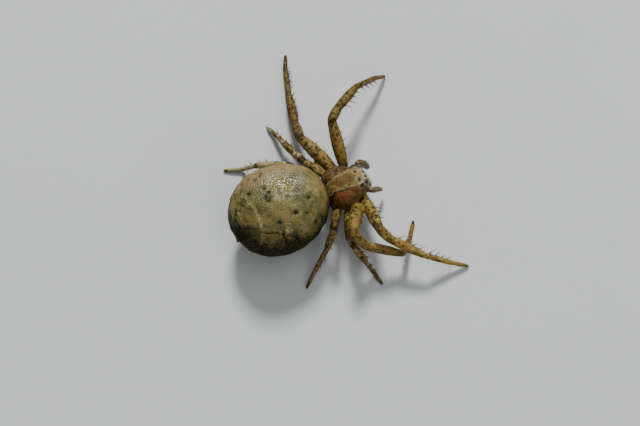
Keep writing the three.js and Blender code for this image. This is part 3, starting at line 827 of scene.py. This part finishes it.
# Painted shade: the lower sides are darkened as by the body's own shadow, and the dark reaches higher
# on the right. It also stands for a darker real colour of the sides, and it eases off on the
# underside.
rightShadeRise = step(unitX, 0.15, -0.35) * (0.4 + 0.6 * step(unitY, -0.5, 0.2))
paintedShadeTop = 0.36 + 0.32 * rightShadeRise + 0.16 * step(unitY, 0.35, 0.8) + 0.08 * noiseAt(own, 1.9, 19.0)
paintedFlankShade = step(unitZ - paintedShadeTop, 0.08, -0.56) * (1 - 0.4 * step(unitZ, -0.15, -0.65))
furrow = bell(unitY + 0.42 + 0.25 * unitX ** 2, 0.022) * step(unitZ, -0.6, -0.8)
raised -= 0.05 * furrow
genitalPlate = bell(np.hypot(own[:, 0], own[:, 1] + 1.72), 0.22) * step(unitZ, -0.6, -0.8)
# the dark marks, with painted shade in the fold troughs and on the lower sides
dark[inAbdomen] = np.clip(darker + 0.6 * paintedFoldShade + 0.16 * blotch + 0.22 * smallBlotch
                          + 0.96 * paintedFlankShade + 0.5 * furrow + 0.6 * genitalPlate, 0, 1)
dark[partOf == "spinneret"] = 0.58
gloss[inAbdomen] *= 1 - dark[inAbdomen]
speckled = patchy(own, 6.0, 37.0, -0.25, 0.35)
pale[inAbdomen] = np.clip((0.25 * spokes + paler * speckled) * (1 - paintedFlankShade) + 0.1 * frontRim, 0, 1)
rust[inAbdomen] = np.clip(0.92 * frontRim + amber * (0.4 + 0.6 * speckled)
                          + 0.3 * step(-unitY, 0.6, 0.9) * (1 - paintedFlankShade), 0, 1)
push[inAbdomen] = raised
atlas[inAbdomen, 0] = 0.02 + 0.46 * (np.arctan2(unitX, unitZ) / math.tau + 0.5)
atlas[inAbdomen, 1] = 0.02 + 0.96 * np.clip(unitY / 2 + 0.5, 0, 1)

# Shield: a pale band down the middle, brown bands beside it, dark corners at the back
inShield = np.isin(partOf, ["shield", "eyeMound", "sternum", "stalk"])
body = points[inShield]
bodyX, bodyY, bodyZ = body.T
offMiddle = np.abs(bodyX)
wobble = noiseAt(body, 2.4, 31.0) * 0.09 + noiseAt(body, 6.0, 33.0) * 0.05
acrossBody = offMiddle + wobble
bandEdge = np.interp(bodyY, [-1.6, -1.0, -0.3, 0.4, 1.0, 1.6], [0.74, 0.68, 0.64, 0.56, 0.44, 0.3])
topSide = step(bodyZ, 1.9, 2.2)
sideBand = step(acrossBody - bandEdge, -0.04, 0.05)
fromRim = offMiddle - np.interp(bodyY, shield["places"], shield["halfWidths"])
rimLight = step(fromRim, -0.14, -0.02)
blotches = patchy(body, 3.1, 41.0, -0.05, 0.35)
rimZone = step(fromRim, -0.62, -0.22) * step(bodyZ, 1.8, 2.0)
rimSpots = rimZone * patchy(body, 4.6, 43.0, 0.02, 0.22)
olive = patchy(body, 4.2, 55.0, 0.0, 0.35)
leftHalf = step(bodyX, -0.1, 0.2)
mottling = patchy(body, 5.5, 57.0, -0.12, 0.22)
rustShield = topSide * sideBand * (0.9 - 0.45 * olive) * (1 - (0.3 + 0.4 * leftHalf) * rimZone)
rustShield *= 1 - 0.5 * leftHalf
streakFine = patchy(body * np.array([3.0, 0.9, 1.0]), 3.2, 45.0, 0.05, 0.3)
bandLine = bell(acrossBody - bandEdge - 0.045, 0.05) * topSide
bandLine = bandLine * (0.45 + 0.55 * step(bodyY, -0.9, 0.6))
middlePatch = (step(0.3 - np.abs(bodyX + wobble), -0.05, 0.08)
               * step(bodyY, 0.75, 0.35) * step(bodyY, -0.95, -0.5) * topSide)
edgePale = bell(acrossBody - bandEdge + 0.1, 0.08) * topSide
rearCorner = bell(offMiddle - 0.7, 0.2) * bell(bodyY - 1.22, 0.26) * topSide
bandDark = topSide * sideBand * blotches * 0.38 * (1 - rimLight)
bandDark += 0.42 * topSide * sideBand * mottling * leftHalf
twoSpots = bell(np.hypot(offMiddle - 0.24, bodyY - 0.95), 0.09) * topSide
coneLine = bell(np.abs(bodyX + wobble * 0.5) - 0.3, 0.035) * step(bodyY, -1.0, -0.6)
coneLine = coneLine * step(bodyY, 0.4, 0.0) * topSide
headShade = sideBand * step(bodyY, -0.7, -1.2) * topSide
darkShield = (rearCorner + bandDark + (0.3 + 0.35 * leftHalf) * rimSpots + 0.8 * bandLine
              + 0.75 * twoSpots + 0.45 * coneLine + 0.34 * streakFine * topSide * (1 - sideBand)
              + (0.05 + 0.25 * leftHalf) * headShade)
faceBand = topSide * step(bodyY, -0.95, -1.15) * step(offMiddle, 0.8, 0.62)
eyeRing, eyeRim = np.zeros((2, len(body)))
for eye in eyes.values():
    for side in sides.values():
        distance = farFrom(body, eyeCentre(eye, side))
        eyeRing += bell(distance - eye["radius"] * 2.1, 0.09)
        eyeRim += bell(distance - eye["radius"] * 1.1, 0.06)
belowRim = step(bodyZ, 1.95, 1.8)
dark[inShield] = np.clip(darkShield + 0.75 * np.clip(eyeRim, 0, 1) + 0.12 * belowRim, 0, 1)
bandPale = topSide * (1 - sideBand) * (1 - middlePatch)
# the white front of the head: partly its real pale colour, partly a painted highlight
foreheadWhiteAndHighlight = step(bodyY, -1.28, -1.5) * step(bodyZ, 2.1, 2.3)
white[inShield] = np.clip(0.65 * foreheadWhiteAndHighlight * patchy(body, 5.0, 47.0, -0.3, 0.1)
                          + 0.17 * edgePale * patchy(body, 3.0, 49.0, -0.1, 0.25)
                          + 0.22 * np.clip(eyeRing, 0, 1), 0, 1) * (1 - dark[inShield])
pale[inShield] = np.clip(0.7 * faceBand + 0.65 * np.clip(eyeRing, 0, 1) + 0.45 * bandPale
                         + 0.15 * rimLight * topSide, 0, 1)
rust[inShield] = np.clip(rustShield + 0.26 * middlePatch, 0, 1)
push[inShield] = noiseAt(body, 3.0, 51.0) * 0.03 + noiseAt(body, 6.5, 53.0) * 0.016
pitTurn = np.arctan2(bodyX, bodyY - 0.55)
pitWay = np.hypot(bodyX, bodyY - 0.55)
rays = np.maximum(0, np.cos(pitTurn * 8)) ** 6 * step(pitWay, 0.35, 0.7) * step(pitWay, 1.5, 1.2)
push[inShield] -= (0.035 * rays * (0.4 + 0.6 * sideBand) + 0.05 * bell(pitWay, 0.16)) * topSide
atlas[inShield, 0] = 0.52 + 0.2 * (bodyX / 3.4 + 0.5)
atlas[inShield, 1] = 0.52 + 0.44 * (bodyY / 6.0 + 0.5)

# Jaws and mouth
inJaws = np.isin(partOf, ["jaw", "lip", "mouthPlate"])
face = points[inJaws]
pale[inJaws] = 0.35 * step(face[:, 2], 1.1, 1.6)
dark[inJaws] = 0.45 * patchy(face, 5.0, 61.0, 0.1, 0.4)
atlas[inJaws, 0] = 0.8 + 0.15 * (face[:, 0] / 1.2 + 0.5)
atlas[inJaws, 1] = 0.52 + 0.1 * face[:, 2]

# Legs and feelers: bands by the place along each piece, specks on the sides.
# Each piece of a leg has the strength, place and width of its dark tip, the strength of its
# dark base, and how rusty it is
legMarks = {
    "coxa": (0.2, 1.0, 0.1, 0.0, 0.55),
    "femur": (0.65, 0.97, 0.06, 0.55, 0.18),
    "patella": (0.35, 0.98, 0.1, 0.55, 0.7),
    "tibia": (0.3, 0.96, 0.06, 0.25, 0.62),
    "metatarsus": (0.35, 0.97, 0.06, 0.15, 0.45),
    "tarsus": (0.75, 1.0, 0.18, 0.1, 0.5),
}
# how much darker the outer pieces are, by pair, on the left and on the right
outerShade = {1: (0.28, -0.15), 2: (0.36, -0.08), 3: (0.28, 0.24), 4: (0.0, 0.22)}
for index, name in enumerate(sorted(limbs)):
    chosen = partOf == name
    if not chosen.any():
        continue
    cloud = points[chosen]
    place, backness, acrossness = limbCoordinates(limbs[name], cloud)
    speck = noiseAt(cloud, 4.2, 71.0)
    limbName, sideName, piece = name.split("_")
    onLeft = sideName == "left"
    if limbName == "feeler":
        shade = np.clip(0.6 * step(speck, 0.05, 0.28) + 0.5 * bell(place - 1.0, 0.14)
                        + 0.25 * bell(place, 0.12), 0, 1)
        pale[chosen] = 0.25 * patchy(cloud, 2.3, 83.0, -0.1, 0.3)
        if piece == "1":
            white[chosen] = 0.5 * step(place, 0.95, 0.45) * (1 - shade)
        else:
            shade = np.clip(shade + 0.22, 0, 1)
    else:
        pair = int(limbName[3])
        tip, tipAt, tipWidth, base, rustBase = legMarks[piece]
        front = pair < 3
        rearSide = step(-acrossness * sides[sideName], -0.2, 0.6)
        shade = tip * bell(place - tipAt, tipWidth) + base * bell(place - 0.02, 0.05)
        if piece == "femur" and front:
            stripes = 0.28 * bell(np.abs(acrossness) - 0.45, 0.16) * step(place, 0.08, 0.3)
            shade += stripes * step(speck, -0.15, 0.15) * step(backness, -0.2, 0.2)
        uneven = speck + 0.1 * rearSide
        spots = 0.6 * step(uneven, 0.18, 0.34) if front else 0.75 * step(uneven, 0.12, 0.28)
        shade = shade + spots * 0.85 + 0.36 * patchy(cloud, 7.5, 75.0, 0.14, 0.3)
        if not front:
            flecks = 0.7 * patchy(cloud, 3.6, 77.0, 0.06, 0.22) * step(backness, -0.3, 0.4)
            # rear femora are duller, and darker except the left third one: partly their brown colour,
            # partly painted shade
            if piece == "femur":
                flecks *= 0.15
                shade += 0.38 if pair == 4 else 0.0 if onLeft else 0.22
            if piece == "patella":
                shade += 0.9 * bell(place - 0.12, 0.16)
                flecks = np.maximum(flecks * step(place, 0.3, 0.4), 0.9 * bell(place - 0.42, 0.07))
            white[chosen] = flecks * (1 - np.clip(shade, 0, 1))
            rustBase *= 0.4
        paleBase = 0.4 if not front else 0.1 if pair == 2 or onLeft else 0.75
        if piece not in ("coxa", "femur"):
            shade += outerShade[pair][0 if onLeft else 1]
            if not front and not onLeft:
                rustBase = 0.75
                white[chosen] *= 0.6
        shade = np.clip(shade, 0, 1)
        if pair == 4 and onLeft and piece in ("tibia", "metatarsus", "tarsus"):
            shade = np.where(place < 0.8, shade * 0.3, shade)
            paleBase = 0.95
            white[chosen] = np.maximum(white[chosen], 0.45 * step(place, 0.9, 0.7))
        pale[chosen] = np.clip(paleBase * patchy(cloud, 1.9, 81.0, -0.2, 0.25)
                               + 0.3 * step(backness, 0.3, 0.9) * (1 - 0.5 * rearSide), 0, 1)
        rust[chosen] = rustBase * patchy(cloud, 1.1, 91.0, -0.3, 0.25)
    dark[chosen] = shade
    turn = np.arctan2(acrossness, backness) / math.tau + 0.5
    atlas[chosen, 0] = 0.52 + 0.075 * (index % 6) + 0.07 * np.clip(place, 0, 1)
    atlas[chosen, 1] = 0.02 + 0.05 * (index // 6) + 0.045 * turn
print("markings placed")


def inFrame(cloud):
    # from the spider's millimetres to the shared frame, in metres
    turn = np.array(toFrame)
    return cloud @ turn[:3, :3].T + turn[:3, 3]


points += readVectors(skinMesh, "normal") * push[:, None]
points[:, 2] = np.maximum(points[:, 2], skinSettings["floorGap"])
skinMesh.vertices.foreach_set("co", inFrame(points).ravel())
for name, values in (("markDark", dark), ("markPale", pale), ("markRust", rust),
                     ("markWhite", white), ("markGloss", gloss)):
    addMark(skinMesh, name, values)
for name, look in skinLooks.items():
    skinMesh.materials.append(skinMaterial(name, {**sharedLook, **look}))
# the material of each part, counted in the order of skinLooks
materialOf = {name: 2 if name.startswith("leg") else 3 for name in limbs}
materialOf.update(abdomen=0, spinneret=0, shield=1, eyeMound=1, sternum=1, stalk=1, jaw=3, lip=3,
                  mouthPlate=3)
corners = readNumbers(skinMesh.polygons, "loop_start")
cornerPoints = readNumbers(skinMesh.loops, "vertex_index")[corners]
slots = np.array([materialOf[partOf[v]] for v in cornerPoints], dtype=np.int32)
skinMesh.polygons.foreach_set("material_index", slots)
skinMesh.shade_smooth()
skinMesh.update()
skin = addObject("spiderSkin", skinMesh)
fleshNodes = [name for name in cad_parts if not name.startswith("eye_")]
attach(skin, "root")
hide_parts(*fleshNodes)
print("skin placed:", len(skinMesh.polygons), "faces")

# Eyes: glossy dark beads
eyeMaterial = plainMaterial("eyeLens")
for sideName, side in sides.items():
    for row, eye in eyes.items():
        bm = ball(4, eye["radius"] * eyeBead)
        bmesh.ops.translate(bm, vec=eyeCentre(eye, side), verts=bm.verts)
        bmesh.ops.transform(bm, matrix=toFrame, verts=bm.verts)
        mesh = meshFrom("eye" + row.title().replace("_", "") + sideName.title(), bm)
        mesh.shade_smooth()
        mesh.materials.append(eyeMaterial)
        bead = addObject(mesh.name, mesh)
        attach(bead, "root")
        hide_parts(f"eye_{row}_{sideName}")
print("eyes placed")


# Spines, bristles and claws: many small tapered pieces joined into one mesh each

def taperedTemplate(around, rings, bend):
    # a curved cone along +Z, one unit long, one unit thick at its root
    outline = [(1 - 0.96 * (i / rings) ** 1.2, i / rings) for i in range(rings + 1)]
    bm = spunOutline(outline + [(0, 1.01)], around)
    bmesh.ops.remove_doubles(bm, verts=bm.verts, dist=1e-4)
    rim = [edge for edge in bm.edges if edge.is_boundary]
    bmesh.ops.holes_fill(bm, edges=rim, sides=0)
    bmesh.ops.recalc_face_normals(bm, faces=bm.faces)
    bm.verts.ensure_lookup_table()
    shape = np.array([v.co for v in bm.verts])
    faces = [[v.index for v in f.verts] for f in bm.faces]
    bm.free()
    return shape, faces, bend


def joinedTufts(name, template, tufts, material):
    # a tuft: its root, direction, the side it bends to, length, radius, atlas place, darkness
    shape, faces, bend = template
    height = shape[:, 2]
    allPoints, allFaces, patches, shades = [], [], [], []
    for root, direction, towards, length, radius, patch, shade in tufts:
        axis = np.array(direction)
        axis = axis / np.linalg.norm(axis)
        lean = np.array(towards) - axis * np.dot(towards, axis)
        lean = lean / (np.linalg.norm(lean) + 1e-9)
        local = (np.outer(shape[:, 0] * radius + bend * length * height**2, lean)
                 + np.outer(shape[:, 1] * radius, np.cross(axis, lean))
                 + np.outer(height * length, axis))
        first = len(allPoints) * len(shape)
        allPoints.append(local + np.array(root))
        allFaces.extend([[first + v for v in f] for f in faces])
        patches.append(patch)
        shades.append(shade)
    mesh = bpy.data.meshes.new(name)
    mesh.from_pydata(inFrame(np.concatenate(allPoints)).tolist(), [], allFaces)
    loops = readNumbers(mesh.loops, "vertex_index")
    spot = shape[loops % len(shape)]
    spread = np.stack([spot[:, 0] * 0.5, spot[:, 2] - 0.5], axis=1) * 0.003
    layer = mesh.uv_layers.new(name="OFBake")
    layer.data.foreach_set("uv", (np.array(patches)[loops // len(shape)] + spread).ravel())
    addMark(mesh, "markDark", np.repeat(shades, len(shape)))
    mesh.shade_smooth()
    mesh.materials.append(material)
    mesh.update()
    piece = addObject(name, mesh)
    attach(piece, "root")
    print(name, len(tufts), "pieces,", len(mesh.polygons), "faces")


boxLow, boxHigh = (toFrame.inverted() @ corner for corner in cadBounds)
boxMargin = 0.01


def fittedLength(root, direction, length, bend):
    # short enough to stay inside the outer box of the model
    while length > 0.03:
        tip = root + direction.normalized() * length
        room = boxMargin + bend * length
        if all(low + room < v < high - room for v, low, high in zip(tip, boxLow, boxHigh)):
            break
        length *= 0.85
    return length


def limbSpot(limb, place, turn, depth):
    # a point on a limb, turned from its back towards its forward side
    back, across = sideAxes(limb["along"])
    outward = back * math.cos(turn) + across * math.sin(turn)
    centre = limb["start"].lerp(limb["end"], place) + back * limb["bow"] * math.sin(math.pi * place)
    near, middle, far = limb["radii"]
    radius = float(np.interp(place, [0, 0.25, 0.6, 0.9, 1], [near, middle, middle, far, far]))
    return centre + outward * (radius - depth), outward


def atlasNear(point):
    index = pointTree.find(point)[1]
    return atlas[index], dark[index]


pointTree = KDTree(len(points))
for index, point in enumerate(points):
    pointTree.insert(point, index)
pointTree.balance()

# Large spines: rows on the forward side of the leg pieces, and a few single ones on the back.
# Each has how many, their length, the first and last place along the piece, and its rows
spineRows = {
    "leg1_femur": (3, 0.46, 0.36, 0.74, (0,)),
    "leg2_femur": (2, 0.36, 0.42, 0.7, (0,)),
    "leg1_tibia": (4, 0.6, 0.2, 0.88, (-1, 1)),
    "leg2_tibia": (4, 0.56, 0.2, 0.88, (-1, 1)),
    "leg1_metatarsus": (4, 0.54, 0.16, 0.86, (-1, 1)),
    "leg2_metatarsus": (4, 0.5, 0.16, 0.86, (-1, 1)),
    "leg3_tibia": (2, 0.34, 0.35, 0.8, (-1, 1)),
    "leg4_tibia": (2, 0.36, 0.35, 0.8, (-1, 1)),
    "leg3_metatarsus": (2, 0.3, 0.25, 0.75, (-1, 1)),
    "leg4_metatarsus": (2, 0.32, 0.25, 0.75, (-1, 1)),
}
spineShape = {"radius": 0.042, "lean": math.radians(32), "spread": math.radians(38), "bend": 0.1}
spineBend = spineShape["bend"]
random.seed(11)
spineTufts = []
for key, (count, fullLength, low, high, rows) in spineRows.items():
    for sideName, side in sides.items():
        legName, piece = key.split("_")
        limb = limbs[f"{legName}_{sideName}_{piece}"]
        along = limb["along"]
        back, across = sideAxes(along)
        forward = along.cross(up).normalized() * side
        forwardTurn = math.atan2(forward.dot(across), forward.dot(back))
        turnSign = 1 if forwardTurn > 0 else -1
        crossed = legName == "leg2" and sideName == "right" and piece != "femur"
        for row in (1,) if crossed else rows:
            for i in range(count):
                stagger = 0.25 if row > 0 else 0
                place = low + (high - low) * (i + stagger) / (count - 0.75)
                turn = forwardTurn + turnSign * row * spineShape["spread"]
                turn += random.uniform(-0.1, 0.1)
                root, outward = limbSpot(limb, place, turn, 0.05)
                lean = spineShape["lean"] + random.uniform(-0.12, 0.12)
                length = fullLength * (1 - 0.25 * place) * random.uniform(0.9, 1.08) + 0.05
                patch, shade = atlasNear(root)
                direction = outward * math.cos(lean) + along * math.sin(lean)
                spineTufts.append((
                    root, direction, along, fittedLength(root, direction, length, spineBend),
                    spineShape["radius"] * random.uniform(0.85, 1.1), patch, 0.35 + 0.5 * shade))
feelerSpines = {"places": (0.2, 0.45, 0.7), "length": 0.24, "radius": 0.028}
for sideName, side in sides.items():
    limb = limbs[f"feeler_{sideName}_2"]
    for place in feelerSpines["places"]:
        turn = side * 0.2 + random.uniform(-0.2, 0.2)
        root, outward = limbSpot(limb, place, turn, 0.03)
        direction = outward + limb["along"] * 0.3
        length = fittedLength(root, direction, feelerSpines["length"], spineBend)
        spineTufts.append((root, direction, limb["along"], length, feelerSpines["radius"],
                           atlasNear(root)[0], 0.8))
joinedTufts("legSpines", taperedTemplate(8, 6, spineBend), spineTufts,
            plainMaterial("spineHorn"))

# Bristles over the skin, leaning back along the body or out along a limb
bristleCover = {
    "limb": {"perSquare": 16.0, "length": (0.1, 0.2), "radius": 0.01, "lift": 0.55},
    "abdomen": {"perSquare": 6.0, "length": (0.08, 0.15), "radius": 0.01, "lift": 0.6},
    "shield": {"perSquare": 7.0, "length": (0.09, 0.2), "radius": 0.01, "lift": 0.7},
    "face": {"perSquare": 22.0, "length": (0.08, 0.16), "radius": 0.008, "lift": 0.6},
}
coverOf = {"abdomen": "abdomen", "shield": "shield", "sternum": "shield", "spinneret": "shield",
           "jaw": "face", "mouthPlate": "face"}
bristleBend = 0.14
shortest = 0.04
random.seed(23)
meshNormals = readVectors(skinMesh, "normal")
squarePerPoint = skinSettings["voxel"] ** 2
bristleTufts = []
for index, part in enumerate(partOf):
    if part in ("stalk", "eyeMound", "lip"):
        continue
    cover = bristleCover[coverOf.get(part, "face" if part.startswith("feeler") else "limb")]
    density = cover["perSquare"] * (1.8 if part.endswith("tarsus") else 1)
    if random.random() > density * squarePerPoint:
        continue
    normal = Vector(meshNormals[index])
    if part in limbs:
        along = limbs[part]["along"]
    else:
        along = Vector((0, 1 if part == "abdomen" else -1, 0))
    along = along + Vector([random.uniform(-0.4, 0.4) for _ in range(3)])
    lift = cover["lift"] * random.uniform(0.7, 1.3)
    direction = (normal * lift + along * (1 - lift * 0.6)).normalized()
    length = random.uniform(*cover["length"])
    root = Vector(points[index]) - normal * 0.02
    length = fittedLength(root, direction, length, bristleBend)
    if length >= shortest:
        bristleTufts.append((
            root, direction, along, length, cover["radius"] * random.uniform(0.8, 1.2),
            atlas[index], min(1, dark[index] + 0.35 * random.random())))
joinedTufts("bodyBristles", taperedTemplate(4, 3, bristleBend), bristleTufts,
            plainMaterial("bristleHair"))

# Paired claws at the end of each leg, and the fangs
claws = {"length": 0.17, "radius": 0.022, "sunk": 0.02, "apart": 0.03, "spread": 0.25}
clawMaterial = plainMaterial("clawHorn")
clawTufts = []
for pair in legPairs:
    for sideName in sides:
        limb = limbs[f"leg{pair}_{sideName}_tarsus"]
        along = limb["along"]
        across = along.cross(up).normalized()
        level = Vector((along.x, along.y, 0)).normalized()
        patch = atlasNear(limb["end"])[0]
        for sideways in (-1, 1):
            root = limb["end"] - along * claws["sunk"] + across * sideways * claws["apart"]
            direction = level + across * sideways * claws["spread"]
            length = fittedLength(root, direction, claws["length"], 0.2)
            clawTufts.append((root, direction, -up, length, claws["radius"], patch, 0.5))
joinedTufts("legClaws", taperedTemplate(8, 6, 0.3), clawTufts, clawMaterial)
fangs = {"length": 0.3, "radius": 0.065, "drop": 0.36}
fangTufts = []
for side in sides.values():
    x, y, z = headForms["jaw"][0]
    root = Vector((x * side, y, z - fangs["drop"]))
    fangTufts.append((root, Vector((-0.12 * side, 0.08, -1)), Vector((-side, 0.6, 0)),
                      fangs["length"], fangs["radius"], atlasNear(root)[0], 0.4))
joinedTufts("fangs", taperedTemplate(12, 8, 0.25), fangTufts, clawMaterial)

# Floor
floorSize = 3.0
bm = bmesh.new()
bmesh.ops.create_grid(bm, x_segments=1, y_segments=1, size=floorSize / 2)
floor = addObject("floor", meshFrom("floor", bm))
floor.data.materials.append(plainMaterial("paleFloor"))
print("floor placed")
